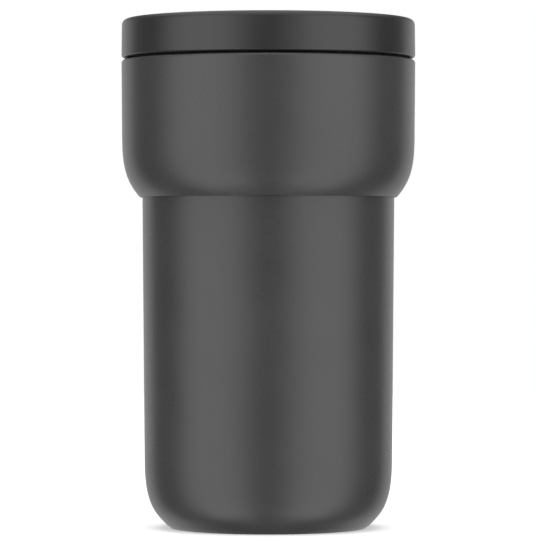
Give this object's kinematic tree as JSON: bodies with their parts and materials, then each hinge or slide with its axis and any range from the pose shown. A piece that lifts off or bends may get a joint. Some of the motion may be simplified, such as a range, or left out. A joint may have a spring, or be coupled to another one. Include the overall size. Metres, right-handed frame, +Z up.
{
  "type": "insulated travel mug",
  "caption": "Double-walled steel travel mug with a stepped shoulder and a screw-on lid; pressing the button in the lid opens a round valve for drinking from any side.",
  "frame": {"origin": "centre of the foot ring, on the surface the mug stands on", "axes": "+Z up along the axis of the mug, from the foot to the lid; +X and +Y point through two of the four spokes in the lid"},
  "size_m": [0.0808, 0.0808, 0.14],
  "materials": {
    "coating": "matt charcoal powder coat on stainless steel",
    "lid_plastic": "satin charcoal moulded plastic",
    "steel": "brushed stainless steel",
    "foil": "bright copper foil",
    "spring_steel": "drawn stainless spring wire",
    "silicone": "matt black food-grade silicone",
    "acetal": "natural moulded acetal",
    "getter_alloy": "dull pressed powder",
    "solder_glass": "dark fused solder glass"
  },
  "bodies": {
    "mug": {"upper_shell": "coating", "lower_shell": "coating", "shell_base": "steel", "vacuum_seal": "solder_glass", "base_cover": "steel", "getter": "getter_alloy", "reflective_foil": "foil", "liner_base": "steel", "inner_liner": "steel"},
    "gasket": {"neck_gasket": "silicone"},
    "lid": {"lid_rim": "lid_plastic", "lid_plug": "lid_plastic", "hub_cap": "acetal", "guide_sleeve": "acetal", "stem_seal": "silicone", "return_spring": "spring_steel"},
    "button": {"push_button": "lid_plastic", "button_plunger": "acetal", "valve_stem": "acetal", "valve_disc": "lid_plastic", "valve_seal": "silicone", "valve_nut": "lid_plastic"},
    "rotor": {"click_rotor": "acetal"}
  },
  "joints": [
    {"name": "lid_lift", "type": "slide", "parent": "mug", "child": "gasket", "axis": [0, 0, 1], "range_m": [0, 0.02]},
    {"name": "lid_turn", "type": "hinge", "parent": "gasket", "child": "lid", "pos_m": [0, 0, 0.13], "axis": [0, 0, 1], "range_deg": [0, 600]},
    {"name": "button_press", "type": "slide", "parent": "lid", "child": "button", "axis": [0, 0, 1], "range_m": [-0.0033, 0], "stiffness_N_per_m": 600, "springref_m": 0.004, "deforming": ["return_spring"]},
    {"name": "rotor_turn", "type": "hinge", "parent": "button", "child": "rotor", "pos_m": [0, 0, 0.1285], "axis": [0, 0, 1], "range_deg": [0, 60]}
  ],
  "couplings": [
    {"joint": "lid_lift", "follows": "lid_turn", "m_per_rad": 0.0019098},
    {"joint": "rotor_turn", "follows": "button_press", "rad_per_m": -317}
  ]
}
